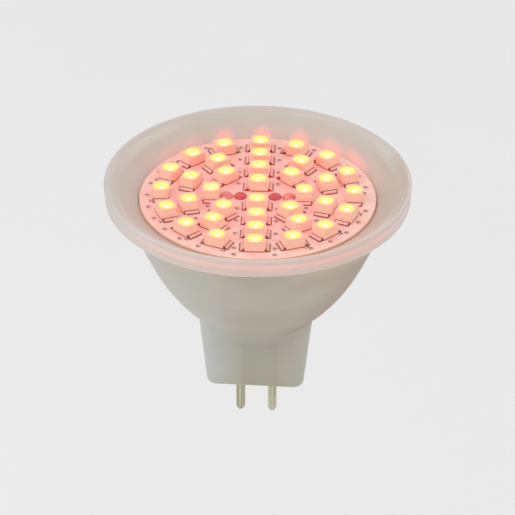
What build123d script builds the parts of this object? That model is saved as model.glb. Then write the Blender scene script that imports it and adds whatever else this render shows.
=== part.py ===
from build123d import *
import os
from math import acos, atan2, cos, degrees, radians, sin, tan

# Two-pin LED spotlight lamp: a frosted reflector cup with a rectangular neck,
# and a recessed round board that carries rings of surface-mount LEDs.
# Lengths are millimetres and angles are degrees.
# The origin is midway between the two pins, on the flat end of the neck.
# Z points out of the light face and X runs along the row of pins.

# Cup, rim and neck
cup_height = 37.4             # flat end of the neck to the crest of the rim
rim_radius = 25.0
rim_height = 3.1              # crest to the shoulder under the rim
rim_draft = 4.0               # the rim's outer wall leans in towards its underside
crest_width = 0.6             # level land on top of the rim
crest_rounding = 0.25
rim_foot_rounding = 0.4
band_width = 2.6              # sloping band inside the crest
band_drop = 1.35
pocket_wall = 2.5             # bowl's wall beside the board's pocket, just under the rim
flank_radius = 90.0           # long shallow arc of the bowl's side
knee_radius = 17.2            # where the flank turns into the belly
knee_height = 22.85
foot_radius = 5.0             # belly's lower end, inside the neck
foot_height = 9.75
hollow_radius = 14.6          # round bottom of the hollow, centred on the axis
hollow_centre = 26.75
ledge_width = 1.5             # ledge that the board is glued to
neck_width = 16.0
neck_depth = 9.45
neck_corner = 1.6
neck_end_rounding = 1.2
neck_draft = 6.0
neck_wall = 2.0
neck_floor = 2.2
slot_corner = 0.8
neck_join_height = 14.8       # the tapered neck runs up into the bowl as far as this
slot_join_height = 17.8       # and its slot runs up into the hollow as far as this

# Two-pin base
pin_spacing = 5.33
pin_radius = 0.75
pin_length = 7.45             # below the flat end of the neck
pin_tip_length = 0.9
pin_tip_radius = 0.35
pin_shank_radius = 1.0        # thicker part, held in the neck's floor
pin_hole_gap = 0.05
collar_radius = 1.35
collar_height = 0.8
tail_radius = 0.5
tail_height = 8.9             # top of the tail above the flat end of the neck
cement_depth = 2.0

# LED board in its seat
board_radius = 19.3
board_thickness = 1.6
board_recess = 3.15           # crest of the rim down to the face of the board
board_gap = 0.1
board_edge_shown = 0.35       # how far the board's edge stands above its pocket
board_turn = 2.7              # turn of the board against the row of pins
adhesive_thickness = 0.2
adhesive_inset = 0.15         # bead's edges short of the board's rim and of the ledge

# LED, a white moulded package with a round resin window
led_length = 3.2
led_width = 2.8
led_height = 1.8
led_corner_cut = 0.5
window_radius = 1.27
window_depth = 0.9
window_taper = 15.0
ring_radii = [3.09, 7.58, 11.64, 15.69]
ring_counts = [2, 8, 10, 16]
first_led_angle = 90.0

# Soldered end of an LED
lead_thickness = 0.15
lead_height = 1.05
lead_width = 2.3
fillet_reach = 0.55           # solder foot, away from the lead
fillet_rise = 0.85            # solder climbs the lead to this height
fillet_edge = 0.08
fillet_waist = 0.2            # thickness of the hollow fillet at its middle

# Through-hole joints in the middle of the board
joint_radius = 1.1
joint_height = 0.75
joint_pitch = 2.25            # wire joint to the spare joint beside it
wire_joint_offset = 2.8
wire_hole_radius = 0.45
conductor_radius = 0.35
sleeve_radius = 0.55
sleeve_stop = 0.6             # bare conductor below the board
wire_bend = 2.0

# Driver inside the cup
driver_width = 11.0
driver_height = 18.0
driver_thickness = 1.0
solder_gap = 0.1              # pin tails stand this far off the driver board
rectifier_width = 4.7
rectifier_depth = 2.4
rectifier_height = 3.9
rectifier_lift = 5.6          # above the lower edge of the driver board
rectifier_lead_span = 0.7
rectifier_lead_width = 0.6
rectifier_lead_depth = 0.25
rectifier_lead_pitch = 2.5
capacitor_radius = 3.15
capacitor_length = 7.0
capacitor_rounding = 0.5
capacitor_groove = 0.3
capacitor_groove_start = 1.2
capacitor_groove_width = 0.8
capacitor_drop = 3.3          # axis below the top of the driver board
wire_landing = 3.5            # sleeved wire beside the driver board
wire_bow = 1.2
resistor_length = 3.2
resistor_width = 1.6
resistor_height = 0.55
resistor_count = 6
resistor_ring_radius = 13.0
pin_solder_width = 1.9
pin_solder_depth = 0.85
pin_solder_length = 2.8
pin_solder_lift = 0.6         # above the cement

# Heights that follow
rim_underside = cup_height - rim_height
board_top = cup_height - board_recess
board_underside = board_top - board_thickness
ledge_height = board_underside - adhesive_thickness
pocket_radius = board_radius + board_gap
ledge_inner_radius = pocket_radius - ledge_width
pocket_top = board_top - board_edge_shown
shoulder_radius = pocket_radius + pocket_wall
rim_foot_radius = rim_radius - rim_height * tan(radians(rim_draft))
band_radius = rim_radius - band_width
cement_top = neck_floor + cement_depth
driver_bottom = cement_top
driver_top = driver_bottom + driver_height
driver_face = tail_radius + solder_gap
driver_back = driver_face + driver_thickness
draft_slope = tan(radians(neck_draft))
slot_width = neck_width - 2 * neck_wall + 2 * neck_floor * draft_slope
slot_depth = neck_depth - 2 * neck_wall + 2 * neck_floor * draft_slope
spare_joint_offset = wire_joint_offset + joint_pitch
sleeve_end = board_underside - sleeve_stop

os.makedirs("parts", exist_ok=True)


def write(piece, name):
    piece.part.label = name
    export_step(piece.part, f"parts/{name}.step")


def on_board(radius, angle, height=board_top):
    """Plane on the board, with X along the ring and Y towards the middle."""
    bearing = radians(angle + board_turn)
    place = (radius * cos(bearing), radius * sin(bearing), height)
    return Plane(origin=place, x_dir=(-sin(bearing), cos(bearing), 0), z_dir=(0, 0, 1))


def ring_seats(ring):
    """The planes that the LEDs of one ring stand on."""
    step = 360 / ring_counts[ring]
    return [on_board(ring_radii[ring], first_led_angle + step * place) for place in range(ring_counts[ring])]


def bowl_side():
    """Draw the bowl's outer side as two tangent arcs, from the shoulder down to the foot."""
    flank = RadiusArc((shoulder_radius, rim_underside), (knee_radius, knee_height), flank_radius)
    TangentArc(flank @ 1, (foot_radius, foot_height), tangent=flank % 1)


def domed_joints(holes):
    """Domes of solder that close the given holes of the board."""
    with BuildPart() as domes:
        for hole in holes:
            with BuildSketch(Plane(origin=hole.origin, x_dir=hole.x_dir, z_dir=-hole.y_dir)):
                with BuildLine():
                    Polyline((0, joint_height), (0, 0), (joint_radius, 0))
                    TangentArc((0, joint_height), (joint_radius, 0), tangent=(1, 0))
                make_face()
            revolve(axis=Axis(hole.origin, (0, 0, 1)))
    return domes


# Shape of the slot inside the neck, from its floor up into the bowl
with BuildPart() as neck_slot:
    with BuildSketch(Plane.XY.offset(neck_floor)):
        RectangleRounded(slot_width, slot_depth, slot_corner)
    extrude(amount=slot_join_height - neck_floor, taper=-neck_draft)

# Round hollow with straight sides that run up to the ledge and meet its bottom without a corner
ledge_rise = ledge_height - hollow_centre
ledge_distance = (ledge_inner_radius**2 + ledge_rise**2) ** 0.5
side_start = degrees(atan2(ledge_rise, ledge_inner_radius) - acos(hollow_radius / ledge_distance))

# Frosted cup, moulded in one piece with its rim and neck
with BuildPart() as cup_housing:
    with BuildSketch(Plane.XZ):
        with BuildLine():
            bowl_side()
            Polyline((foot_radius, foot_height), (0, foot_height), (0, cup_height), (rim_radius, cup_height))
            Polyline((rim_radius, cup_height), (rim_foot_radius, rim_underside), (shoulder_radius, rim_underside))
        make_face()
    revolve(axis=Axis.Z)
    rim_foot = faces().filter_by(Plane.XY).sort_by(Axis.Z)[-2].edges().sort_by(SortBy.RADIUS)[-1]
    fillet(rim_foot, rim_foot_rounding)
    with BuildSketch(Plane.XY):
        RectangleRounded(neck_width, neck_depth, neck_corner)
    extrude(amount=neck_join_height, taper=-neck_draft)
    fillet(faces().sort_by(Axis.Z)[0].edges(), neck_end_rounding)

    # Pocket for the board under the opening, then the hollow and the slot for the driver
    with BuildSketch(Plane.XZ):
        with BuildLine():
            bottom = CenterArc((0, hollow_centre), hollow_radius, -90, 90 + side_start)
            Polyline(bottom @ 1, (ledge_inner_radius, ledge_height), (pocket_radius, ledge_height),
                     (pocket_radius, pocket_top), (band_radius, cup_height - band_drop),
                     (rim_radius - crest_width, cup_height), (0, cup_height), bottom @ 0)
        make_face()
    revolve(axis=Axis.Z, mode=Mode.SUBTRACT)
    fillet(edges().group_by(Axis.Z)[-1], crest_rounding)
    add(neck_slot.part, mode=Mode.SUBTRACT)

    # Pin holes in the neck's floor
    with Locations(Plane.XY.offset(neck_floor)):
        with GridLocations(pin_spacing, 0, 2, 1):
            Hole(pin_shank_radius + pin_hole_gap)
write(cup_housing, "cup_housing")

# Round LED board, drilled for the two wires and the two spare joints
with BuildPart() as led_board:
    with BuildSketch(Plane.XY.offset(board_underside)):
        Circle(board_radius)
        for distance in (wire_joint_offset, spare_joint_offset):
            for angle in (0, 180):
                with Locations(on_board(distance, angle, 0).origin):
                    Circle(wire_hole_radius, mode=Mode.SUBTRACT)
    extrude(amount=board_thickness)
write(led_board, "led_board")

# Bead of adhesive between the ledge and the board
with BuildPart() as board_adhesive:
    with BuildSketch(Plane.XY.offset(ledge_height)):
        Circle(board_radius - adhesive_inset)
        Circle(ledge_inner_radius + adhesive_inset, mode=Mode.SUBTRACT)
    extrude(amount=adhesive_thickness)
write(board_adhesive, "board_adhesive")

# LED packages, each with one cut corner and a conical cup for the resin
led_number = 0
for ring in range(len(ring_radii)):
    for seat in ring_seats(ring):
        led_number += 1
        with BuildPart() as led:
            with BuildSketch(seat) as footprint:
                Rectangle(led_length, led_width)
                chamfer(footprint.vertices().group_by(Axis.X)[-1].sort_by(Axis.Y)[-1], led_corner_cut)
            extrude(amount=led_height)
            with BuildSketch(seat.offset(led_height)):
                Circle(window_radius)
            extrude(amount=-window_depth, taper=window_taper, mode=Mode.SUBTRACT)
        write(led, f"led_{led_number:02d}")

# Resin windows and soldered ends of the LEDs, ring by ring
lead_face = led_length / 2 + lead_thickness
for ring in range(len(ring_radii)):
    with BuildPart() as windows:
        for seat in ring_seats(ring):
            with BuildSketch(seat.offset(led_height)):
                Circle(window_radius)
            extrude(amount=-window_depth, taper=window_taper)
    write(windows, f"led_windows_ring_{ring + 1}")

    with BuildPart() as led_joints:
        for seat in ring_seats(ring):
            for side in (-1, 1):
                with BuildSketch(Plane(origin=seat.origin, x_dir=seat.x_dir * side, z_dir=seat.y_dir * -side)):
                    with BuildLine():
                        Polyline((lead_face, fillet_rise), (lead_face, lead_height),
                                 (led_length / 2, lead_height), (led_length / 2, 0),
                                 (lead_face + fillet_reach, 0), (lead_face + fillet_reach, fillet_edge))
                        ThreePointArc((lead_face + fillet_reach, fillet_edge),
                                      (lead_face + fillet_waist, fillet_edge + fillet_waist),
                                      (lead_face, fillet_rise))
                    make_face()
                extrude(amount=lead_width / 2, both=True)
    write(led_joints, f"led_joints_ring_{ring + 1}")

# Joints in the middle of the board: a wire comes up through each inner hole, the outer ones are spare
write(domed_joints([on_board(wire_joint_offset, 0)]), "wire_joint_right")
write(domed_joints([on_board(wire_joint_offset, 180)]), "wire_joint_left")
write(domed_joints([on_board(spare_joint_offset, 0), on_board(spare_joint_offset, 180)]), "spare_joints")

# Sleeved wires from the driver board up to the LED board, bowed a little outwards
for name, way, angle in (("right", 1, 0), ("left", -1, 180)):
    hole = on_board(wire_joint_offset, angle, sleeve_end)
    start = Vector(way * wire_joint_offset, driver_face - sleeve_radius, driver_top - wire_landing)
    rise = Vector(0, 0, sleeve_end - start.Z)
    bow = Vector(way * wire_bow, 0, 0)
    with BuildPart() as lead_wire:
        with BuildLine() as route:
            FilletPolyline(start, start + rise * 0.3, start + rise * 0.55 + bow, hole.origin - rise * 0.2,
                           hole.origin, radius=wire_bend)
        with BuildSketch(Plane(origin=start, z_dir=rise)):
            Circle(sleeve_radius)
        sweep(path=route.line)
        with BuildSketch(hole):
            Circle(conductor_radius)
        extrude(amount=board_top - sleeve_end)
    write(lead_wire, f"lead_wire_{name}")

# Pins of the base, each with a thicker shank, a collar on the neck's floor and a thin tail
for name, way in (("right", 1), ("left", -1)):
    foot = Vector(way * pin_spacing / 2, 0, 0)
    collar_top = neck_floor + collar_height
    with BuildPart() as base_pin:
        with BuildSketch(Plane(origin=foot, x_dir=(1, 0, 0), z_dir=(0, -1, 0))):
            with BuildLine():
                Polyline((0, tail_height), (0, -pin_length), (pin_tip_radius, -pin_length))
                TangentArc((pin_radius, pin_tip_length - pin_length), (pin_tip_radius, -pin_length),
                           tangent=(0, -1))
                Polyline((pin_radius, pin_tip_length - pin_length), (pin_radius, 0),
                         (pin_shank_radius, 0), (pin_shank_radius, neck_floor),
                         (collar_radius, neck_floor), (collar_radius, collar_top),
                         (tail_radius, collar_top), (tail_radius, tail_height), (0, tail_height))
            make_face()
        revolve(axis=Axis(foot, (0, 0, 1)))
    write(base_pin, f"base_pin_{name}")

# Cement that holds the collars down on the neck's floor
with BuildPart() as pin_cement:
    add(neck_slot.part)
    split(bisect_by=Plane.XY.offset(cement_top), keep=Keep.BOTTOM)
    for radius, depth in ((collar_radius, collar_height), (tail_radius, cement_depth)):
        with BuildSketch(Plane.XY.offset(neck_floor)):
            with GridLocations(pin_spacing, 0, 2, 1):
                Circle(radius)
        extrude(amount=depth, mode=Mode.SUBTRACT)
write(pin_cement, "pin_cement")

# Driver board, upright in the neck, and what is mounted on it
with BuildPart() as driver_board:
    with BuildSketch(Plane.XZ.offset(-driver_back)):
        with Locations((0, driver_bottom)):
            Rectangle(driver_width, driver_height, align=(Align.CENTER, Align.MIN))
    extrude(amount=driver_thickness)
write(driver_board, "driver_board")

with BuildPart() as pin_solder:
    with BuildSketch(Plane.XY.offset(cement_top + pin_solder_lift)):
        with Locations((0, driver_face)):
            with GridLocations(pin_spacing, 0, 2, 1):
                Rectangle(pin_solder_width, pin_solder_depth, align=(Align.CENTER, Align.MAX))
        with GridLocations(pin_spacing, 0, 2, 1):
            Circle(tail_radius, mode=Mode.SUBTRACT)
    extrude(amount=pin_solder_length)
write(pin_solder, "pin_solder")

with BuildPart() as bridge_rectifier:
    with BuildSketch(Plane.XZ.offset(-driver_face)):
        with Locations((0, driver_bottom + rectifier_lift)):
            Rectangle(rectifier_width, rectifier_height, align=(Align.CENTER, Align.MIN))
    extrude(amount=rectifier_depth)
    with BuildSketch(Plane.XZ.offset(-driver_face)):
        with Locations((0, driver_bottom + rectifier_lift + rectifier_height / 2)):
            with GridLocations(rectifier_width + rectifier_lead_span, rectifier_lead_pitch, 2, 2):
                Rectangle(rectifier_lead_span, rectifier_lead_width)
    extrude(amount=rectifier_lead_depth)
write(bridge_rectifier, "bridge_rectifier")

with BuildPart() as smoothing_capacitor:
    with BuildSketch(Plane.XZ.offset(-driver_back)):
        with Locations((0, driver_top - capacitor_drop)):
            Circle(capacitor_radius)
    extrude(amount=-capacitor_length)
    fillet(edges().sort_by(Axis.Y)[-1], capacitor_rounding)
    with BuildSketch(Plane.XZ.offset(-driver_back - capacitor_groove_start)):
        with Locations((0, driver_top - capacitor_drop)):
            Circle(capacitor_radius)
            Circle(capacitor_radius - capacitor_groove, mode=Mode.SUBTRACT)
    extrude(amount=-capacitor_groove_width, mode=Mode.SUBTRACT)
write(smoothing_capacitor, "smoothing_capacitor")

# Series resistors, soldered to the back of the LED board
with BuildPart() as series_resistors:
    for place in range(resistor_count):
        with BuildSketch(on_board(resistor_ring_radius, 360 / resistor_count * place, board_underside)):
            Rectangle(resistor_length, resistor_width)
        extrude(amount=-resistor_height)
write(series_resistors, "series_resistors")
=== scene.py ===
import math

import bmesh
import bpy
from mathutils import Matrix, Quaternion, Vector


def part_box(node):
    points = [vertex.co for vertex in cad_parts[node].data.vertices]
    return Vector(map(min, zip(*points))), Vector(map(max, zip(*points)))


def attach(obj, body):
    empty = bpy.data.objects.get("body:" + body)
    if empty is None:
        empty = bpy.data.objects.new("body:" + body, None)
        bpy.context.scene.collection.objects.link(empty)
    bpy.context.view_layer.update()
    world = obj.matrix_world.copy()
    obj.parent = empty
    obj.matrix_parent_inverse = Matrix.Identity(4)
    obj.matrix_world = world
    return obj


bl_info = {
    "name": "LED Spotlight Lamp",
    "version": (1, 0, 0),
    "blender": (4, 5, 0),
    "location": "View3D > Sidebar > Spotlight",
    "description": "Finishes, board details and studio stage for a two-pin LED spotlight lamp",
    "category": "Object",
}

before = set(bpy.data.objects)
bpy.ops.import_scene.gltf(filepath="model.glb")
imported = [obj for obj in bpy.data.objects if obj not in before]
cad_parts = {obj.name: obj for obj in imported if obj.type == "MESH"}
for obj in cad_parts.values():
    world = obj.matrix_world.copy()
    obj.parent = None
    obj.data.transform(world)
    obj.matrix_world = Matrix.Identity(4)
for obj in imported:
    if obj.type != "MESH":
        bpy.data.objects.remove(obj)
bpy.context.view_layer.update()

MILLIMETRES = 1000.0  # in a metre
BLACK = (0.0, 0.0, 0.0)
NUMBER_SOCKET = "NodeSocketFloat"
COLOUR_SOCKET = "NodeSocketColor"
BOARD_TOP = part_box("led_board")[1].z
CREST_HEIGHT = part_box("cup_housing")[1].z
PIN_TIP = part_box("base_pin_right")[0].z

# Rings of LEDs: radius in metres and number of LEDs, from the middle outwards
RINGS = ((0.00309, 2), (0.00758, 8), (0.01164, 10), (0.01569, 16))
BOARD_TURN = math.radians(2.7)
FIRST_LED = math.radians(90.0) + BOARD_TURN

# Masks of the cup in millimetres. A pair says where a mask starts and where it is full. Three values
# are its middle, its half width and the fade outside that. A bearing is the share of the radius to
# the right of the middle, a depth is below the crest, and a share is how strongly a tone shows.
# Levels are of a noise from 0 to 1. A pair called a width is a half width and its fade.
BELT_HEIGHT = (26.3, 2.0, 3.5)
LEFT_BEARING = (0.05, -0.6)
WARM_BEARING = (0.58, 0.08, 0.3)
WARM_HEIGHT = (26.0, 31.0)
LOW_HEIGHT = (27.0, 14.0)
LOW_SHIFT = 0.22
RIGHT_BEARING = (0.5, 1.0)
RIGHT_BACK = (20.0, -2.0)
TOP_DEPTHS = (9.5, 5.0)
TOP_SHARE = 0.8
TOP_GAP = (0.04, 0.1, 0.25)
TOP_GAP_SHARE = 0.6
NECK_FOOT = (5.0, 0.5)
NECK_LEFT = (-0.5, -8.0)
NECK_RIGHT = (4.0, 8.5)
NECK_TOP = (12.3, 13.8)
BESIDE_NECK = (9.05, 9.3)
SHADE_WIDTH = (0.85, 2.7, 0.7)
SHADE_TOP = (11.4, 10.4)
SHADE_SHARE = 0.3
RIM_DEPTHS = (3.3, 2.9)
RIM_FRONT = (-4.0, -20.0)
RIM_FRONT_RIGHT = (-24.0, 2.0)
RIM_BACK = (0.0, 14.0)
CONE_RADII = (22.9, 22.3)
CONE_DEPTHS = (3.7, 3.3)
CONE_FOOT_RADII = (21.9, 21.5)
CONE_RIGHT = (15.0, 24.0)
BAND_RADII = (23.9, 23.5)
BAND_LEFT = (-18.5, 2.0, 3.5)
CREST_RIGHT = (20.5, 23.8)
CREST_RIGHT_RADII = (24.7, 24.2)
RIGHT_SHARE = 0.85
# Painted glints round the crest, as fine paler rings
STREAK_RADII = (22.8, 23.4)
STREAK_LEVELS = (0.5, 0.7)
STREAK_LEAN = 1.3
STREAK_RUN = 1.6
STREAK_SCALE = 1.3
STREAK_SHARE = 0.45
WALL_RADII = (24.3, 24.6)
WALL_LEFT = (-17.0, -24.0)
WALL_LEFT_SHARE = 0.8
LINE_DEPTH = 1.27
LINE_WIDTH = (0.12, 0.5)
LINE_FRONT = (2.0, -14.0)
LINE_RIGHT = (-25.0, -12.0)
LINE_SHARE = 0.45
FRONT_GLOW_SHARE = 0.17
RIM_FOOT_DEPTH = 3.02
RIM_FOOT_WIDTH = (0.12, 0.15)

# Red glow on the far side of the cone, in millimetres: its size, how much further out than its LED
# it lies, and what changes beyond the two ends
GLOW_HEIGHT = 1.15
GLOW_WIDTH = 1.7
GLOW_SPREAD = 1.06
GLOW_SHARE = 0.95
GLOW_LEFT_END = -8.0
GLOW_RIGHT_END = 9.0
GLOW_LEFT_SHARE = 0.4
GLOW_RIGHT_SHARE = 0.8
GLOW_END_WIDER = 1.5
GLOW_END_LOWER = 0.85
GLOW_FADE = (1.45, 0.2)
GLOW_BACK = (2.0, 8.0)
GLOW_FIRST_BACK = 4.0
HAZE_HEIGHT = (2.0, 0.0)
HAZE_SHARE = 0.14

# Fillet between the bowl and the neck, in metres: half its length, its reach up and down, how deep
# its borders and its body lie in the wall, half its number of columns, its steps, and the
# square of its least share at the ends
BLEND_REACH = 0.0068
BLEND_UP = 0.005
BLEND_DOWN = 0.002
BLEND_SINK = 0.00001
BLEND_BODY = 0.0004
BLEND_HALF_COLUMNS = 24
BLEND_STEPS = 20
BLEND_LEAST = 0.0004

# Search for the crease over the neck, in metres: two heights on the neck's wall, the first height
# to try, the step, the bend that counts, half a step for the slope, and a point outside the cup
NECK_LOW = 0.007
NECK_RISE = 0.0025
CREASE_START = 0.0098
CREASE_STEP = 0.00002
CREASE_BEND = 0.00001
SLOPE_STEP = 0.0002
OUTSIDE = 0.05

# Masks of the board and the LEDs, like those of the cup, with heights above the board. FACING is
# the cosine between a face and the way to the middle.
MASK_FRONT = (7.0, 17.0)
PATCH_LEVELS = (0.5, 0.7)
PATCH_SHARE = 0.5
TRACK_RADII = (5.4, 9.6, 13.65)
TRACK_WIDTH = (0.35, 0.15)
TRACK_SHARE = 0.25
EDGE_RADII = (19.05, 19.2)
EDGE_HEIGHTS = (-0.05, -0.1)
LIT_RADII = (19.2, 19.0)
MARK_TONE_RADII = (9.0, 16.0)
BODY_FOOT = (0.24, 0.12)
BODY_SIDE = (1.78, 1.6)
BODY_DARK = (0.3, 0.1)
HALO_DISTANCE = (1.7, 1.3)
FACING = (-0.05, 0.3)
RESIN_LEVELS = (0.42, 0.62)
RESIN_EDGE = (1.0, 1.25)
TERMINAL_TOP = (0.4, 0.5)
TERMINAL_SIDE = (1.06, 1.14)
TERMINAL_END = (2.2, 2.28)
TERMINAL_BEND = (0.42, 0.03, 0.07)
TERMINAL_EDGE_TOP = (0.55, 0.45)

# Spots in an LED's window, from its middle: right, back, radius and fade in millimetres
CHIP_SPOTS = ((-0.55, -0.6, 0.1, 0.35), (0.6, -0.5, 0.08, 0.35), (-0.3, 0.55, 0.1, 0.35))
HOT_SPOT = (0.05, -0.45, 0.24, 0.36)

# Print and plated holes on the board, in metres, with their lift off the board. The shift and share
# of a hole's dark middle, painted shade set off to one side, are of its land's radius. Bearings are in
# degrees.
PRINT_LIFT = 0.00003
MARK_LIFT = 0.00004
HOLE_LIFT = 0.00005
PAD_DISTANCE = 0.00199
PAD_HALF_LENGTH = 0.00052
PAD_HALF_WIDTH = 0.00128
MARK_RADIUS = 0.01745
MARK_ASIDE = 0.0021
MARK_LONG_ARM = 0.0007
MARK_SHORT_ARM = 0.0005
MARK_WIDER = 1.2
HOLE_SHIFT = (-0.25, 0.1, 0.0)
HOLE_SHARE = 0.5
VIA_COLUMN = 0.00325
VIA_ROWS = (-0.0178, -0.0159, -0.0114, -0.0075, -0.0037, 0.0042, 0.0079, 0.012, 0.0159)
VIA_RINGS = (
    (0.01795, range(12, 360, 12)),
    (0.012, (36, 144, 216, 324)),
    (0.0086, (22, 158, 202, 338)),
)

# Streaks of a drawn pin, painted lighter as highlights: how fine they are in X, Y and Z, and the noise
# levels they lie between
DRAWN_GLINT_SCALES = (3.1, 1.2, 0.06)
DRAWN_GLINT_LEVELS = (0.4, 0.62)

# Studio lamps: name, bearing and rise in degrees, distance and size in metres, watts and tint
LAMPS = (
    ("key_lamp", -60, 35, 0.7, 0.5, 0.8, (0.97, 1.0, 0.99)),
    ("fill_lamp", 60, 20, 0.8, 0.5, 0.2, (1.0, 0.93, 0.85)),
)
LAMP_TARGET = (0.0, 0.0, 0.022)
CAMERA_TARGET = (0.000025, 0.0, 0.02267)
AIR = (0.88, 0.88, 0.88)
FLOOR_RADIUS = 6.0


def linear(red, green, blue):
    """Colour of a finish from its 0 to 255 display values."""
    shares = (red / 255, green / 255, blue / 255)
    return tuple(share / 12.92 if share <= 0.04045 else ((share + 0.055) / 1.055) ** 2.4 for share in shares)


def colour_property(name, description, values):
    """Colour setting with its default in display values."""
    return bpy.props.FloatVectorProperty(
        name=name,
        description=description,
        subtype="COLOR",
        size=3,
        min=0.0,
        soft_max=1.0,
        default=linear(*values),
    )


def number_property(name, description, value, **limits):
    """Setting for a number, with its limits and unit."""
    return bpy.props.FloatProperty(name=name, description=description, default=value, **limits)


def length_property(name, description, value):
    """Setting for a length in metres."""
    return number_property(name, description, value, min=0.0, precision=5, unit="LENGTH")


def share_property(name, description, value):
    """Setting for a share from 0 to 1."""
    return number_property(name, description, value, min=0.0, max=1.0, subtype="FACTOR")


def angle_property(name, description, degrees):
    """Setting for an angle, with its default in degrees."""
    return number_property(name, description, math.radians(degrees), subtype="ANGLE")


class CupSettings(bpy.types.PropertyGroup):
    rim: colour_property("Rim", "Frosted top of the rim", (212, 204, 197))
    rim_back: colour_property("Rim, back", "Far side of the rim's top", (206, 196, 189))
    # Painted shade at the left end of the rim's outer wall
    rim_left: colour_property("Rim, left", "Left end of the rim's outer wall", (204, 194, 188))
    # Painted red light of the LEDs on the near side of the rim
    rim_front: colour_property("Rim, front", "Near side of the rim, warmed by the LEDs", (212, 199, 188))
    band: colour_property("Band", "Sloping band inside the crest", (202, 194, 184))
    # Painted light on the paler left side of the band
    band_left: colour_property("Band, left", "Paler left side of the band", (216, 202, 190))
    inside: colour_property("Inside", "Inner cone above the board", (206, 191, 181))
    # Painted glints, as fine paler rings round the rim
    streak: colour_property("Streak", "Paler rings that the mould leaves in the rim", (220, 212, 206))
    # Painted warm shade on the right side of the cone and crest
    inside_right: colour_property("Inside, right", "Warmer right side of the cone", (194, 174, 160))
    bowl: colour_property("Bowl", "Front of the bowl", (178, 171, 156))
    # Painted light on the top of the bowl, in the shade under the rim
    bowl_top: colour_property("Bowl, top", "Paler top of the bowl under the rim", (202, 190, 176))
    # Painted light on the paler, cooler left side of the bowl
    bowl_left: colour_property("Bowl, left", "Cooler side of the bowl", (190, 187, 177))
    # Painted shade on the warmer right side of the bowl
    bowl_right_shade: colour_property("Bowl, right", "Warmer side of the bowl, over the wires", (164, 142, 122))
    bowl_warm: colour_property("Bowl, warm", "Light of the LEDs in the right of the bowl", (186, 166, 146))
    # Painted light in a paler belt half way down the bowl
    bowl_middle: colour_property("Bowl, middle", "Paler belt half way down the bowl", (188, 181, 167))
    neck: colour_property("Neck", "Front of the rectangular neck", (176, 171, 158))
    # Painted light on the paler, cooler left side of the neck
    neck_left: colour_property("Neck, left", "Cooler side of the neck", (191, 192, 185))
    neck_right: colour_property("Neck, right", "Right side of the neck", (183, 179, 168))
    neck_foot: colour_property("Neck, foot", "Yellower foot of the neck, over the cement", (174, 167, 145))
    shade: colour_property("Shade", "Faint darker band in the front of the neck", (158, 156, 142))
    red_light: colour_property("Red light", "Red light held in the frosted plastic", (176, 26, 14))
    foot_light: colour_property("Foot light", "Light gathered at the lower edge of the rim", (118, 100, 98))
    roughness: share_property("Roughness", "Roughness of the frosted surface", 0.42)


class BoardSettings(bpy.types.PropertyGroup):
    mask: colour_property("Solder mask", "White solder mask in red light", (245, 191, 182))
    mask_front: colour_property("Solder mask, front", "Paler front of the board", (242, 206, 194))
    lit: colour_property("Lit", "Red light held in the solder mask", (104, 66, 60))
    edge_lit: colour_property("Lit edge", "Light held in the bare laminate", (120, 96, 84))
    edge: colour_property("Edge", "Bare laminate at the edge of the board", (206, 156, 134))
    track: colour_property("Track", "Copper tracks under the solder mask", (238, 166, 160))
    mark: colour_property("Marks", "Outlines round the soldered pads", (146, 76, 66))
    mark_inner: colour_property("Marks, inner", "Redder outlines near the middle", (186, 56, 58))
    via: colour_property("Via", "Plated hole in the board", (222, 166, 158))
    # Painted shade in the dark middle of a plated hole
    via_hole: colour_property("Via hole", "Dark middle of a plated hole", (176, 124, 118))
    via_radius: length_property("Via radius", "Radius of a plated hole's land", 0.00044)
    line_width: length_property("Line width", "Width of a pad's outline", 0.00013)


class LedSettings(bpy.types.PropertyGroup):
    body: colour_property("Body", "Moulded LED body", (246, 180, 160))
    body_foot: colour_property("Body foot", "Foot of the LED body in its own shade", (188, 92, 86))
    body_light: colour_property("Body light", "Light in the top of the moulded body", (110, 76, 64))
    halo: colour_property("Halo", "Yellow light round the window", (150, 96, 48))
    side_light: colour_property("Side light", "Light that comes through the body's sides", (106, 112, 100))
    red_side: colour_property("Red side", "Red light on sides that face other LEDs", (110, 76, 66))
    resin: colour_property("Resin", "Lit resin as a camera sees it", (254, 251, 150))
    resin_deep: colour_property("Deep resin", "Deeper yellow patches in the lit resin", (254, 242, 98))
    resin_edge: colour_property("Resin edge", "Rim of the lit resin", (255, 226, 110))
    hot_spot: colour_property("Hot spot", "Brightest point over the chip", (255, 254, 236))
    chip: colour_property("Chip", "Small warm spots beside the hot spot", (255, 226, 110))
    light: colour_property("Light", "Colour of the light that the LEDs cast", (255, 40, 30))
    light_level: number_property("Light level", "Strength of the light that the LEDs cast", 1.0, min=0.0)


class SolderSettings(bpy.types.PropertyGroup):
    tin: colour_property("Tin", "Bright tin of the LED terminals", (246, 186, 174))
    tin_light: colour_property("Tin light", "Light that the terminals catch", (84, 60, 56))
    # Painted shade on the edges and bend of the LED terminals, redder on the inner rings
    tin_edge: colour_property("Tin edge", "Dark edge of the LED terminals", (156, 72, 64))
    tin_edge_inner: colour_property("Tin edge, inner", "Redder edge of the inner terminals", (196, 62, 62))
    wire_joint: colour_property("Wire joint", "Solder over the wire ends", (216, 92, 92))
    spare_joint: colour_property("Spare joint", "Solder in the spare holes", (244, 140, 134))


class MetalSettings(bpy.types.PropertyGroup):
    pin: colour_property("Pin", "Nickel plated base pin", (170, 166, 138))
    # Painted highlights in streaks along the drawn pin
    pin_light: colour_property("Pin, light", "Brighter streaks along the drawn pin", (208, 204, 182))
    can: colour_property("Can", "Aluminium can of the capacitor", (200, 200, 202))


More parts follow.
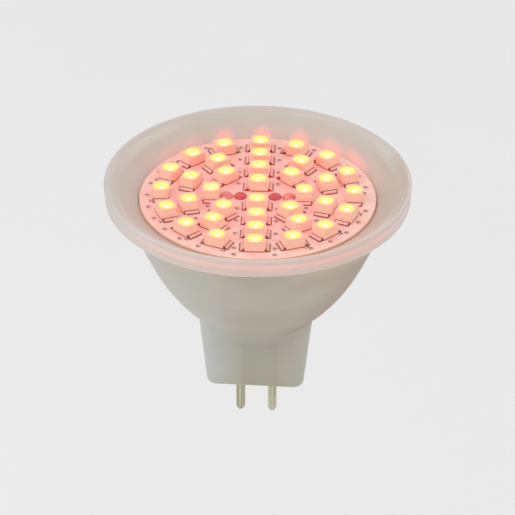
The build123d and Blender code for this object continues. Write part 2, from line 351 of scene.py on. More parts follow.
class StageSettings(bpy.types.PropertyGroup):
    paper: colour_property("Paper", "Backdrop and floor", (232, 232, 232))
    paper_fill: share_property("Paper fill", "Share of the paper's tone seen in any light", 0.07)
    floor_drop: length_property("Floor drop", "Floor below the pins", 0.11)
    camera_angle: angle_property("Camera angle", "Camera's bearing from the lamp's front", 4.24)
    camera_rise: angle_property("Camera rise", "Camera's elevation above the horizon", 31.885)
    camera_roll: angle_property("Camera roll", "Turn of the camera about its own axis", 0.35)
    camera_distance: length_property("Camera distance", "Camera to its target", 0.5308)
    lens: number_property("Lens", "Focal length in millimetres", 225.65, min=1.0)


# Node helpers


def new_material(name, roughness=0.5, metallic=0.0):
    """New material, its node tree and its shader."""
    material = bpy.data.materials.new(name)
    material.use_nodes = True
    tree = material.node_tree
    tree.nodes.clear()
    output = tree.nodes.new("ShaderNodeOutputMaterial")
    shader = tree.nodes.new("ShaderNodeBsdfPrincipled")
    shader.inputs["Roughness"].default_value = roughness
    shader.inputs["Metallic"].default_value = metallic
    tree.links.new(shader.outputs["BSDF"], output.inputs["Surface"])
    return material, tree, shader


def feed(tree, value, socket):
    """Link an output to a socket, or set the socket to a plain value."""
    if isinstance(value, bpy.types.NodeSocket):
        tree.links.new(value, socket)
    elif hasattr(value, "__len__") and len(value) == 3 and len(socket.default_value) == 4:
        socket.default_value = (*value, 1.0)
    else:
        socket.default_value = value


def maths(tree, operation, first, second=0.0, third=0.0):
    """Output of a Math node."""
    node = tree.nodes.new("ShaderNodeMath")
    node.operation = operation
    for value, socket in zip((first, second, third), node.inputs):
        feed(tree, value, socket)
    return node.outputs[0]


def span(tree, value, start, end):
    """Mask that rises smoothly from 0 at start to 1 at end."""
    node = tree.nodes.new("ShaderNodeMapRange")
    node.interpolation_type = "SMOOTHSTEP"
    feed(tree, value, node.inputs["Value"])
    node.inputs["From Min"].default_value = start
    node.inputs["From Max"].default_value = end
    return node.outputs["Result"]


def stripe(tree, value, centre, half_width, blur):
    """Mask that is 1 within half_width of centre and fades over blur."""
    distance = maths(tree, "ABSOLUTE", maths(tree, "SUBTRACT", value, centre))
    return span(tree, distance, half_width + blur, half_width)


def product(tree, *factors):
    """Product of values or masks."""
    result = factors[0]
    for factor in factors[1:]:
        result = maths(tree, "MULTIPLY", result, factor)
    return result


def reach(tree, first, second):
    """Length of a flat vector from its two parts."""
    squares = maths(tree, "ADD", product(tree, first, first), product(tree, second, second))
    return maths(tree, "SQRT", squares)


def blend(tree, mask, under, over):
    """Colour that goes from under to over as the mask rises."""
    node = tree.nodes.new("ShaderNodeMix")
    node.data_type = "RGBA"
    # Inputs 6 and 7 and output 2 of the node are the ones for colours
    feed(tree, mask, node.inputs[0])
    feed(tree, under, node.inputs[6])
    feed(tree, over, node.inputs[7])
    return node.outputs[2]


def vector_maths(tree, operation, first, second=(0.0, 0.0, 0.0)):
    """Vector Math node."""
    node = tree.nodes.new("ShaderNodeVectorMath")
    node.operation = operation
    feed(tree, first, node.inputs[0])
    feed(tree, second, node.inputs[1])
    return node


def place(tree):
    """X, Y and Z of the shaded point and its vector, in millimetres."""
    texture = tree.nodes.new("ShaderNodeTexCoord")
    scale = vector_maths(tree, "SCALE", texture.outputs["Object"])
    scale.inputs["Scale"].default_value = MILLIMETRES
    split = tree.nodes.new("ShaderNodeSeparateXYZ")
    tree.links.new(scale.outputs[0], split.inputs[0])
    return split.outputs["X"], split.outputs["Y"], split.outputs["Z"], scale.outputs[0]


def above_board(*heights):
    """Z in millimetres of each height above the board."""
    return [BOARD_TOP * MILLIMETRES + height for height in heights]


def below_crest(*depths):
    """Z in millimetres of each depth below the rim's crest."""
    return [CREST_HEIGHT * MILLIMETRES - depth for depth in depths]


def vector_of(tree, *parts):
    """Vector from three outputs."""
    node = tree.nodes.new("ShaderNodeCombineXYZ")
    for part, socket in zip(parts, node.inputs):
        tree.links.new(part, socket)
    return node.outputs[0]


def noise_over(tree, vector, scale, detail=2.0):
    """Soft noise over a vector."""
    texture = tree.nodes.new("ShaderNodeTexNoise")
    texture.inputs["Detail"].default_value = detail
    feed(tree, scale, texture.inputs["Scale"])
    tree.links.new(vector, texture.inputs["Vector"])
    return texture.outputs["Fac"]


def new_group(name, inputs, outputs):
    """Node group with its input and output node."""
    group = bpy.data.node_groups.new(name, "ShaderNodeTree")
    for socket_name, socket_kind, value in inputs:
        socket = group.interface.new_socket(socket_name, in_out="INPUT", socket_type=socket_kind)
        socket.default_value = value
    for socket_name, socket_kind in outputs:
        group.interface.new_socket(socket_name, in_out="OUTPUT", socket_type=socket_kind)
    start = group.nodes.new("NodeGroupInput")
    end = group.nodes.new("NodeGroupOutput")
    return group, start, end


def use_group(tree, group, **values):
    """Node of a group, with values for its inputs by name."""
    node = tree.nodes.new("ShaderNodeGroup")
    node.node_tree = group
    for name, value in values.items():
        feed(tree, value, node.inputs[name.replace("_", " ")])
    return node


def mottle_group():
    """Soft uneven tone of a moulded, frosted or printed surface."""
    name = "Soft mottle"
    if name in bpy.data.node_groups:
        return bpy.data.node_groups[name]
    inputs = (
        ("Colour", COLOUR_SOCKET, (0.8, 0.8, 0.8, 1.0)),
        ("Size", NUMBER_SOCKET, 1.0),
        ("Amount", NUMBER_SOCKET, 0.05),
    )
    outputs = (("Colour", COLOUR_SOCKET), ("Mask", NUMBER_SOCKET))
    group, start, end = new_group(name, inputs, outputs)
    noise = noise_over(group, place(group)[3], start.outputs["Size"], 3.0)
    centred = maths(group, "SUBTRACT", noise, 0.5)
    swing = product(group, centred, start.outputs["Amount"])
    level = maths(group, "ADD", product(group, swing, 2.0), 1.0)
    scale = vector_maths(group, "SCALE", start.outputs["Colour"])
    group.links.new(level, scale.inputs["Scale"])
    group.links.new(scale.outputs[0], end.inputs["Colour"])
    group.links.new(noise, end.inputs["Mask"])
    return group


def nearest_led_group():
    """Offset from the middle of the nearest LED of one ring, in millimetres."""
    name = "Nearest LED"
    if name in bpy.data.node_groups:
        return bpy.data.node_groups[name]
    inputs = (
        ("Ring radius", NUMBER_SOCKET, 10.0),
        ("LEDs", NUMBER_SOCKET, 8.0),
        ("First angle", NUMBER_SOCKET, 0.0),
    )
    outputs = [(output, NUMBER_SOCKET) for output in ("Right", "Back", "Along", "Across", "Distance")]
    group, start, end = new_group(name, inputs, outputs)
    x, y, _, _ = place(group)
    first_angle = start.outputs["First angle"]
    step = maths(group, "DIVIDE", 2 * math.pi, start.outputs["LEDs"])
    from_first = maths(group, "SUBTRACT", maths(group, "ARCTAN2", y, x), first_angle)
    number = maths(group, "ROUND", maths(group, "DIVIDE", from_first, step))
    seat = maths(group, "ADD", product(group, number, step), first_angle)
    cosine = maths(group, "COSINE", seat)
    sine = maths(group, "SINE", seat)
    radius = start.outputs["Ring radius"]
    right = maths(group, "SUBTRACT", x, product(group, radius, cosine))
    back = maths(group, "SUBTRACT", y, product(group, radius, sine))
    across = maths(group, "ADD", product(group, right, cosine), product(group, back, sine))
    along = maths(group, "SUBTRACT", product(group, back, cosine), product(group, right, sine))
    values = (right, back, along, across, reach(group, right, back))
    for value, socket in zip(values, end.inputs):
        group.links.new(value, socket)
    return group


def ring_place(tree, ring):
    """The nearest-LED group, set for one ring."""
    radius, count = RINGS[ring]
    return use_group(
        tree,
        nearest_led_group(),
        Ring_radius=radius * MILLIMETRES,
        LEDs=float(count),
        First_angle=FIRST_LED,
    )


def cover(node_name, material):
    """Give a carried-over CAD node its finish."""
    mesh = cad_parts[node_name].data
    mesh.materials.clear()
    mesh.materials.append(material)


def mottled(tree, shader, colour, size, amount):
    """Base colour with a soft uneven tone. Gives the mask of that tone."""
    tone = use_group(tree, mottle_group(), Colour=colour, Size=size, Amount=amount)
    tree.links.new(tone.outputs["Colour"], shader.inputs["Base Color"])
    return tone.outputs["Mask"]


def uneven_gloss(tree, shader, mask, roughness, swing):
    """Roughness that swings with a mask."""
    level = maths(tree, "MULTIPLY_ADD", mask, swing, roughness - swing / 2)
    tree.links.new(level, shader.inputs["Roughness"])


def give_light(tree, shader, colour):
    """Light that a surface gives off by itself."""
    tree.links.new(colour, shader.inputs["Emission Color"])
    shader.inputs["Emission Strength"].default_value = 1.0


def fine_relief(tree, shader, height, strength, depth):
    """Fine bumps, with their depth in metres."""
    relief = tree.nodes.new("ShaderNodeBump")
    relief.inputs["Strength"].default_value = strength
    relief.inputs["Distance"].default_value = depth
    tree.links.new(height, relief.inputs["Height"])
    tree.links.new(relief.outputs["Normal"], shader.inputs["Normal"])


def plain_finish(name, colour, roughness, metallic=0.0, mottle=0.06, size=0.8, bump=0.0):
    """Finish with a soft uneven tone, for small and hidden pieces."""
    material, tree, shader = new_material(name, metallic=metallic)
    mask = mottled(tree, shader, colour, size, mottle)
    uneven_gloss(tree, shader, mask, roughness, 0.2)
    if bump:
        fine_relief(tree, shader, mask, bump, 0.0001)
    return material


def mesh_object(name, shape, material):
    """Turn finished mesh code into an object of the scene."""
    mesh = bpy.data.meshes.new(name)
    shape.to_mesh(mesh)
    shape.free()
    mesh.materials.append(material)
    made = bpy.data.objects.new(name, mesh)
    bpy.context.scene.collection.objects.link(made)
    return made


def mesh_piece(name, shape, material):
    """Turn finished mesh code into a piece of the lamp."""
    piece = mesh_object(name, shape, material)
    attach(piece, "root")


def disc(shape, centre, radius, segments):
    """Flat disc, added to mesh code."""
    there = Matrix.Translation(centre)
    bmesh.ops.create_circle(shape, cap_ends=True, segments=segments, radius=radius, matrix=there)


def led_seats():
    """Ring, bearing and middle of every LED."""
    for ring, (radius, count) in enumerate(RINGS):
        for number in range(count):
            angle = FIRST_LED + 2 * math.pi * number / count
            middle = Vector((radius * math.cos(angle), radius * math.sin(angle), BOARD_TOP))
            yield ring, angle, middle


def seat_axes(angle):
    """Directions outwards and round the board at a bearing."""
    outward = Vector((math.cos(angle), math.sin(angle), 0.0))
    along = Vector((-math.sin(angle), math.cos(angle), 0.0))
    return outward, along


# Pieces


class SPOT_OT_cup(bpy.types.Operator):
    """Frosted finish of the cup, with the red light that it carries"""

    bl_idname = "spotlight.cup"
    bl_label = "Frosted cup"

    def execute(self, context):
        look = context.scene.spotlight_cup
        material, tree, shader = new_material("Frosted cup")
        x, y, z, millimetres = place(tree)
        radius = reach(tree, x, y)
        bearing = maths(tree, "DIVIDE", x, radius)
        bowl = bowl_tone(tree, look, y, z, bearing)
        beside_neck = span(tree, maths(tree, "ABSOLUTE", x), *BESIDE_NECK)
        off_neck = maths(tree, "MAXIMUM", span(tree, z, *NECK_TOP), beside_neck)
        colour = blend(tree, off_neck, neck_tone(tree, look, x, z), bowl)
        # Rim, its top and the cone that runs down to the board
        rim = span(tree, z, *below_crest(*RIM_DEPTHS))
        front = product(tree, span(tree, y, *RIM_FRONT), span(tree, x, *RIM_FRONT_RIGHT))
        rim_tone = blend(tree, span(tree, y, *RIM_BACK), look.rim, look.rim_back)
        # Painted red light of the LEDs on the near side of the rim
        rim_tone = blend(tree, front, rim_tone, look.rim_front)
        colour = blend(tree, rim, colour, rim_tone)
        band = product(tree, span(tree, radius, *BAND_RADII), rim)
        # Painted light on the paler left side of the band
        band_tone = blend(tree, stripe(tree, x, *BAND_LEFT), look.band, look.band_left)
        colour = blend(tree, band, colour, band_tone)
        cone_height = span(tree, z, *below_crest(*CONE_DEPTHS))
        inside = product(tree, span(tree, radius, *CONE_RADII), cone_height)
        colour = blend(tree, inside, colour, look.inside)
        # Painted warm shade on the right of the cone and crest
        right_cone = product(tree, span(tree, x, *CONE_RIGHT), inside)
        right_crest = product(tree, span(tree, x, *CREST_RIGHT), span(tree, radius, *CREST_RIGHT_RADII), rim)
        cone_right_shade = product(tree, maths(tree, "MAXIMUM", right_cone, right_crest), RIGHT_SHARE)
        colour = blend(tree, cone_right_shade, colour, look.inside_right)
        # Painted glints, as fine paler rings round the crest
        crest_only = product(tree, span(tree, radius, *STREAK_RADII), rim)
        streaks = product(tree, glint_rings(tree, y, z, radius, bearing), crest_only, STREAK_SHARE)
        colour = blend(tree, streaks, colour, look.streak)
        wall = span(tree, radius, *WALL_RADII)
        # Painted shade at the left end of the rim's outer wall
        left_wall_shade = product(tree, span(tree, x, *WALL_LEFT), wall, rim, WALL_LEFT_SHARE)
        colour = blend(tree, left_wall_shade, colour, look.rim_left)
        # Light line round the rim's outer wall, and red light in the front of the rim
        outer = product(tree, wall, rim)
        line = stripe(tree, z, *below_crest(LINE_DEPTH), *LINE_WIDTH)
        line_run = product(tree, span(tree, y, *LINE_FRONT), span(tree, x, *LINE_RIGHT))
        line = product(tree, line, outer, line_run, LINE_SHARE)
        lit = maths(tree, "ADD", line, product(tree, front, rim, FRONT_GLOW_SHARE))
        cone_foot = product(tree, inside, span(tree, radius, *CONE_FOOT_RADII))
        lit = maths(tree, "MAXIMUM", lit, product(tree, wall_glow(tree, x, y, z), cone_foot))
        red = blend(tree, lit, BLACK, look.red_light)
        foot = product(tree, stripe(tree, z, *below_crest(RIM_FOOT_DEPTH), *RIM_FOOT_WIDTH), outer)
        give_light(tree, shader, blend(tree, foot, red, look.foot_light))
        mask = mottled(tree, shader, colour, 0.22, 0.05)
        uneven_gloss(tree, shader, mask, look.roughness, 0.12)
        fine_relief(tree, shader, noise_over(tree, millimetres, 9.0), 0.06, 0.00005)
        cover("cup_housing", material)
        neck_blend(material)
        return {"FINISHED"}


def bowl_tone(tree, look, y, z, bearing):
    """Colour of the bowl, with painted light on its cooler left side and in a paler belt and top, and
    painted shade on its warmer right side.
    """
    # Painted light in a paler belt half way down
    bowl = blend(tree, stripe(tree, z, *BELT_HEIGHT), look.bowl, look.bowl_middle)
    # Painted light on the cooler left side
    bowl = blend(tree, span(tree, bearing, *LEFT_BEARING), bowl, look.bowl_left)
    warm = product(tree, stripe(tree, bearing, *WARM_BEARING), span(tree, z, *WARM_HEIGHT))
    bowl = blend(tree, warm, bowl, look.bowl_warm)
    # Painted shade on the right side of the bowl, reaching further in towards the bottom
    low_bearing = maths(tree, "MULTIPLY_ADD", span(tree, z, *LOW_HEIGHT), LOW_SHIFT, bearing)
    bowl_right_shade_mask = product(tree, span(tree, low_bearing, *RIGHT_BEARING), span(tree, y, *RIGHT_BACK))
    bowl = blend(tree, bowl_right_shade_mask, bowl, look.bowl_right_shade)
    # Painted light, paler just under the rim where shade falls, less so in the middle of the front
    gap = product(tree, stripe(tree, bearing, *TOP_GAP), -TOP_GAP_SHARE)
    height = span(tree, z, *below_crest(*TOP_DEPTHS))
    under_rim_light = product(tree, maths(tree, "ADD", gap, 1.0), height, TOP_SHARE)
    return blend(tree, under_rim_light, bowl, look.bowl_top)


def neck_tone(tree, look, x, z):
    """Colour of the neck, with painted light on its cooler left side and a faint darker band in its middle.
    """
    neck = blend(tree, span(tree, z, *NECK_FOOT), look.neck, look.neck_foot)
    # Painted light on the cooler left side
    neck = blend(tree, span(tree, x, *NECK_LEFT), neck, look.neck_left)
    neck = blend(tree, span(tree, x, *NECK_RIGHT), neck, look.neck_right)
    shade = product(tree, stripe(tree, x, *SHADE_WIDTH), span(tree, z, *SHADE_TOP), SHADE_SHARE)
    return blend(tree, shade, neck, look.shade)


def glint_rings(tree, y, z, radius, bearing):
    """Mask of painted glints, in fine rings that run round the rim."""
    lean = maths(tree, "MULTIPLY_ADD", radius, STREAK_LEAN, z)
    right = product(tree, bearing, STREAK_RUN)
    back = product(tree, maths(tree, "DIVIDE", y, radius), STREAK_RUN)
    return span(tree, noise_over(tree, vector_of(tree, lean, right, back), STREAK_SCALE), *STREAK_LEVELS)


def neck_blend(material):
    """Soft fillets that carry the bowl down into the front and back of the neck."""
    shape = bmesh.new()
    for side in (-1, 1):
        loops = []
        for column in range(-BLEND_HALF_COLUMNS, BLEND_HALF_COLUMNS + 1):
            outline = blend_outline(side, BLEND_REACH * column / BLEND_HALF_COLUMNS)
            loops.append([shape.verts.new(point) for point in outline])
        for here, after in zip(loops, loops[1:]):
            for point in range(len(here)):
                following = (point + 1) % len(here)
                face = shape.faces.new((here[point], here[following], after[following], after[point]))
                # Only the curve that is seen is smooth, with sharp borders
                face.smooth = point < BLEND_STEPS
                shape.edges.get((here[point], after[point])).smooth = 0 < point < BLEND_STEPS
        shape.faces.new(loops[0])
        shape.faces.new(reversed(loops[-1]))
    bmesh.ops.recalc_face_normals(shape, faces=shape.faces)
    mesh_piece("neck_blend", shape, material)


def blend_outline(side, right):
    """Closed section of the fillet at one distance from the middle, in metres."""
    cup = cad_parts["cup_housing"]

    def wall(height):
        start = Vector((right, side * OUTSIDE, height))
        found, point, _, _ = cup.ray_cast(start, Vector((0.0, -side, 0.0)))
        if not found:
            raise RuntimeError(f"no wall of the cup at {right}, {height}")
        return point

    low = wall(NECK_LOW)
    slope = (wall(NECK_LOW + NECK_RISE).y - low.y) / NECK_RISE
    crease = CREASE_START
    while abs(wall(crease).y - low.y - slope * (crease - low.z)) < CREASE_BEND:
        crease += CREASE_STEP
    fade = max(1 - (right / BLEND_REACH) ** 2, BLEND_LEAST) ** 0.5
    top = wall(crease + BLEND_UP * fade)
    tangent = wall(top.z + SLOPE_STEP) - wall(top.z - SLOPE_STEP)
    steps = (low.y + slope * (top.z - low.z) - top.y) / (tangent.y - slope * tangent.z)
    corner = top + tangent * steps
    foot_height = corner.z - BLEND_DOWN * fade
    foot = Vector((right, low.y + slope * (foot_height - low.z), foot_height))
    sunk = Vector((0.0, -side * BLEND_BODY, 0.0))
    curve = []
    for step in range(BLEND_STEPS + 1):
        share = step / BLEND_STEPS
        curve.append(top * (1 - share) ** 2 + corner * 2 * share * (1 - share) + foot * share ** 2)
    for border in (0, BLEND_STEPS):
        curve[border] = curve[border] - Vector((0.0, side * BLEND_SINK, 0.0))
    inside = Vector((right, wall(crease).y, crease))
    return [*curve, foot + sunk, inside + sunk, top + sunk]


def wall_glow(tree, x, y, z):
    """Red light that the outer LEDs throw on the far side of the cone, as a mask."""
    glow = 0.0
    above = maths(tree, "SUBTRACT", z, BOARD_TOP * MILLIMETRES)
    for ring, _, middle in led_seats():
        if ring != len(RINGS) - 1 or middle.y * MILLIMETRES < GLOW_FIRST_BACK:
            continue
        right = middle.x * MILLIMETRES
        share = GLOW_SHARE
        width = GLOW_WIDTH
        tallness = GLOW_HEIGHT
        if right < GLOW_LEFT_END or right > GLOW_RIGHT_END:
            share = GLOW_RIGHT_SHARE if right > 0 else GLOW_LEFT_SHARE
            width = GLOW_WIDTH * GLOW_END_WIDER
            tallness = GLOW_HEIGHT * GLOW_END_LOWER
        height = maths(tree, "DIVIDE", above, tallness)
        offset = maths(tree, "DIVIDE", maths(tree, "SUBTRACT", x, GLOW_SPREAD * right), width)
        spot = product(tree, span(tree, reach(tree, offset, height), *GLOW_FADE), share)
        glow = maths(tree, "MAXIMUM", glow, spot)
    haze = product(tree, span(tree, above, *HAZE_HEIGHT), HAZE_SHARE)
    return product(tree, maths(tree, "MAXIMUM", glow, haze), span(tree, y, *GLOW_BACK))


class SPOT_OT_board(bpy.types.Operator):
    """Solder mask and bare edge of the LED board, and the adhesive under it"""

    bl_idname = "spotlight.board"
    bl_label = "LED board"

    def execute(self, context):
        look = context.scene.spotlight_board
        material, tree, shader = new_material("White solder mask")
        x, y, z, _ = place(tree)
        radius = reach(tree, x, y)
        near = maths(tree, "MAXIMUM", x, product(tree, y, -1.0))
        colour = blend(tree, span(tree, near, *MASK_FRONT), look.mask, look.mask_front)
        patches = use_group(tree, mottle_group(), Size=0.55).outputs["Mask"]
        patches = product(tree, span(tree, patches, *PATCH_LEVELS), PATCH_SHARE)
        colour = blend(tree, patches, colour, look.track)
        for track_radius in TRACK_RADII:
            track = product(tree, stripe(tree, radius, track_radius, *TRACK_WIDTH), TRACK_SHARE)
            colour = blend(tree, track, colour, look.track)
        colour = blend(tree, span(tree, radius, *EDGE_RADII), colour, look.edge)
        colour = blend(tree, span(tree, z, *above_board(*EDGE_HEIGHTS)), colour, look.edge)
        uneven_gloss(tree, shader, mottled(tree, shader, colour, 1.8, 0.07), 0.45, 0.2)
        give_light(tree, shader, blend(tree, span(tree, radius, *LIT_RADII), look.edge_lit, look.lit))
        cover("led_board", material)
        cover("board_adhesive", plain_finish("Clear silicone", linear(215, 210, 200), 0.35))
        return {"FINISHED"}


class SPOT_OT_board_marks(bpy.types.Operator):
    """Plated holes and pad outlines on the board"""

    bl_idname = "spotlight.board_marks"
    bl_label = "Board marks"

    def execute(self, context):
        look = context.scene.spotlight_board
        outline, tree, shader = new_material("Pad outline")
        x, y, _, _ = place(tree)
        outwards = span(tree, reach(tree, x, y), *MARK_TONE_RADII)
        mottled(tree, shader, blend(tree, outwards, look.mark_inner, look.mark), 2.0, 0.6)
        pads = bmesh.new()
        marks = bmesh.new()
        for ring, angle, middle in led_seats():
            across, along = seat_axes(angle)
            for side in (-1, 1):
                centre = middle + along * side * PAD_DISTANCE + Vector((0, 0, PRINT_LIFT))
                frame_strip(pads, centre, along * PAD_HALF_LENGTH, across * PAD_HALF_WIDTH, look.line_width)
            if ring == len(RINGS) - 1 and abs(middle.x) > VIA_COLUMN:
                polarity_mark(marks, angle, look.line_width * MARK_WIDER)
        mesh_piece("pad_outlines", pads, outline)
        mesh_piece("polarity_marks", marks, outline)

        lands = bmesh.new()
        holes = bmesh.new()
        # The dark middle of each hole is painted shade, set off to one side
        shift = Vector(HOLE_SHIFT) * look.via_radius + Vector((0, 0, HOLE_LIFT))
        for middle in via_places():
            disc(lands, middle + Vector((0, 0, PRINT_LIFT)), look.via_radius, 20)
            disc(holes, middle + shift, look.via_radius * HOLE_SHARE, 16)
        land = plain_finish("Via land", look.via, 0.45, size=2.0, mottle=0.2)
        hole = plain_finish("Via hole", look.via_hole, 0.6, size=2.0)
        mesh_piece("via_lands", lands, land)
        mesh_piece("via_holes", holes, hole)
        return {"FINISHED"}


def polarity_mark(shape, angle, width):
    """Printed corner mark that shows which way round an outer LED goes."""
    outward, along = seat_axes(angle)
    corner = outward * MARK_RADIUS + along * MARK_ASIDE + Vector((0, 0, BOARD_TOP + MARK_LIFT))
    for arm in (along * -MARK_LONG_ARM, outward * -MARK_SHORT_ARM):
        run = arm.normalized()
        beside = Vector((-run.y, run.x, 0.0)) * width / 2
        start = run * -width / 2
        corners = (start - beside, arm - beside, arm + beside, start + beside)
        shape.faces.new([shape.verts.new(corner + point) for point in corners])


def via_places():
    """Middle of each plated hole: rows beside the middle column, then between the LEDs."""
    turn = Matrix.Rotation(BOARD_TURN, 3, "Z")
    level = Vector((0, 0, BOARD_TOP))
    for back in VIA_ROWS:
        for side in (-1, 1):
            yield turn @ Vector((side * VIA_COLUMN, back, 0.0)) + level
    for radius, bearings in VIA_RINGS:
        for bearing in bearings:
            angle = math.radians(bearing)
            right = radius * math.cos(angle)
            if abs(right) >= 2 * VIA_COLUMN:
                yield turn @ Vector((right, radius * math.sin(angle), 0.0)) + level


def frame_strip(shape, centre, half_along, half_across, width):
    """Flat rectangular outline, with its outer size given by two half edges."""
    shrink_along = half_along * (1 - width / half_along.length)
    shrink_across = half_across * (1 - width / half_across.length)
    signs = ((-1, -1), (1, -1), (1, 1), (-1, 1))
    outer = [shape.verts.new(centre + half_along * one + half_across * other) for one, other in signs]
    inner = [shape.verts.new(centre + shrink_along * one + shrink_across * other) for one, other in signs]
    for here in range(4):
        after = (here + 1) % 4
        shape.faces.new((outer[here], outer[after], inner[after], inner[here]))


class SPOT_OT_leds(bpy.types.Operator):
    """Moulded bodies of the LEDs, lit from their own windows"""

    bl_idname = "spotlight.leds"
    bl_label = "LED bodies"

    def execute(self, context):
        look = context.scene.spotlight_leds
        first = 1
        for ring, (_, count) in enumerate(RINGS):
            material, tree, shader = new_material(f"LED body ring {ring + 1}", 0.4)
            distance = ring_place(tree, ring).outputs["Distance"]
            height = place(tree)[2]
            foot = span(tree, height, *above_board(*BODY_FOOT))
            mottled(tree, shader, blend(tree, foot, look.body, look.body_foot), 1.5, 0.05)
            side = span(tree, height, *above_board(*BODY_SIDE))
            side_light = blend(tree, facing_middle(tree), look.side_light, look.red_side)
            top_light = blend(tree, span(tree, distance, *HALO_DISTANCE), look.body_light, look.halo)
            light = blend(tree, side, top_light, side_light)
            dark = span(tree, height, *above_board(*BODY_DARK))
            give_light(tree, shader, blend(tree, dark, light, BLACK))
            for number in range(first, first + count):
                cover(f"led_{number:02d}", material)
            first += count
        return {"FINISHED"}


def facing_middle(tree):
    """Mask of the faces that look towards the middle of the board."""
    geometry = tree.nodes.new("ShaderNodeNewGeometry")
    outward = vector_maths(tree, "NORMALIZE", geometry.outputs["Position"])
    inward = vector_maths(tree, "MULTIPLY", outward.outputs[0], (-1.0, -1.0, 0.0))
    facing = vector_maths(tree, "DOT_PRODUCT", inward.outputs[0], geometry.outputs["Normal"])
    return span(tree, facing.outputs["Value"], *FACING)


class SPOT_OT_windows(bpy.types.Operator):
    """Lit resin in the LEDs' windows"""

    bl_idname = "spotlight.windows"
    bl_label = "LED windows"

    def execute(self, context):
        look = context.scene.spotlight_leds
        for ring in range(len(RINGS)):
            material, tree, shader = new_material(f"Lit resin ring {ring + 1}", 0.2)
            near = ring_place(tree, ring)
            patches = use_group(tree, mottle_group(), Size=2.6).outputs["Mask"]
            colour = blend(tree, span(tree, patches, *RESIN_LEVELS), look.resin, look.resin_deep)
            edge = span(tree, near.outputs["Distance"], *RESIN_EDGE)
            colour = blend(tree, edge, colour, look.resin_edge)
            for spot in CHIP_SPOTS:
                colour = blend(tree, spot_mask(tree, near, *spot), colour, look.chip)
            colour = blend(tree, spot_mask(tree, near, *HOT_SPOT), colour, look.hot_spot)
            rays = tree.nodes.new("ShaderNodeLightPath")
            cast = tuple(channel * look.light_level for channel in look.light)
            give_light(tree, shader, blend(tree, rays.outputs["Is Camera Ray"], cast, colour))
            shader.inputs["Base Color"].default_value = (0.02, 0.005, 0.002, 1.0)
            cover(f"led_windows_ring_{ring + 1}", material)
        return {"FINISHED"}


def spot_mask(tree, near, right, back, radius, fade):
    """Round mask at an offset from the nearest LED's middle, in millimetres."""
    from_right = maths(tree, "SUBTRACT", near.outputs["Right"], right)
    from_back = maths(tree, "SUBTRACT", near.outputs["Back"], back)
    return span(tree, reach(tree, from_right, from_back), radius + fade, radius)


class SPOT_OT_solder(bpy.types.Operator):
    """Terminals of the LEDs and the joints in the middle of the board"""

    bl_idname = "spotlight.solder"
    bl_label = "Solder"

    def execute(self, context):
        look = context.scene.spotlight_solder
        for ring in range(len(RINGS)):
            material, tree, shader = new_material(f"LED terminal ring {ring + 1}", 0.35, 0.15)
            near = ring_place(tree, ring)
            across = maths(tree, "ABSOLUTE", near.outputs["Across"])
            along = maths(tree, "ABSOLUTE", near.outputs["Along"])
            height = maths(tree, "SUBTRACT", place(tree)[2], BOARD_TOP * MILLIMETRES)
            above = span(tree, height, *TERMINAL_TOP)
            # Painted shade along the lower sides, ends and bend of each terminal, which gives no light there
            end = span(tree, along, *TERMINAL_END)
            edge = maths(tree, "MAXIMUM", span(tree, across, *TERMINAL_SIDE), end)
            edge = maths(tree, "MAXIMUM", edge, stripe(tree, height, *TERMINAL_BEND))
            edge = product(tree, edge, span(tree, height, *TERMINAL_EDGE_TOP))
            body = context.scene.spotlight_leds
            glow = blend(tree, facing_middle(tree), body.side_light, body.red_side)
            glow = blend(tree, above, look.tin_light, glow)
            colour = blend(tree, above, look.tin, body.body)
            colour = blend(tree, edge, colour, look.tin_edge_inner if ring < 2 else look.tin_edge)
            mottled(tree, shader, colour, 2.5, 0.3)
            give_light(tree, shader, blend(tree, edge, glow, BLACK))
            cover(f"led_joints_ring_{ring + 1}", material)
        wire = plain_finish("Wire joint", look.wire_joint, 0.3, mottle=1.5, size=4.5, bump=0.9)
        spare = plain_finish("Spare joint", look.spare_joint, 0.3, mottle=1.1, size=4.0, bump=0.8)
        cover("wire_joint_right", wire)
        cover("wire_joint_left", wire)
        cover("spare_joints", spare)
        cover("pin_solder", plain_finish("Pin solder", linear(200, 198, 192), 0.3, metallic=1.0))
        return {"FINISHED"}


class SPOT_OT_base(bpy.types.Operator):
    """Plated pins of the base and the cement that holds them"""

    bl_idname = "spotlight.base"
    bl_label = "Base pins"

    def execute(self, context):
        look = context.scene.spotlight_metal
        pin = drawn_metal_with_glints("Nickel plated pin", look.pin_light, look.pin, 0.3)
        cover("base_pin_right", pin)
        cover("base_pin_left", pin)
        cover("pin_cement", plain_finish("Pin cement", linear(208, 202, 188), 0.8, bump=0.5))
        return {"FINISHED"}


def drawn_metal_with_glints(name, light, dark, roughness):
    """Plated wire with the fine streaks of its drawing along the Z axis, painted lighter as highlights."""
    material, tree, shader = new_material(name, metallic=0.9)
    scaled = [product(tree, part, scale) for part, scale in zip(place(tree), DRAWN_GLINT_SCALES)]
    streaks = noise_over(tree, vector_of(tree, *scaled), 1.0)
    colour = blend(tree, span(tree, streaks, *DRAWN_GLINT_LEVELS), dark, light)
    tree.links.new(colour, shader.inputs["Base Color"])
    uneven_gloss(tree, shader, streaks, roughness, 0.2)
    return material


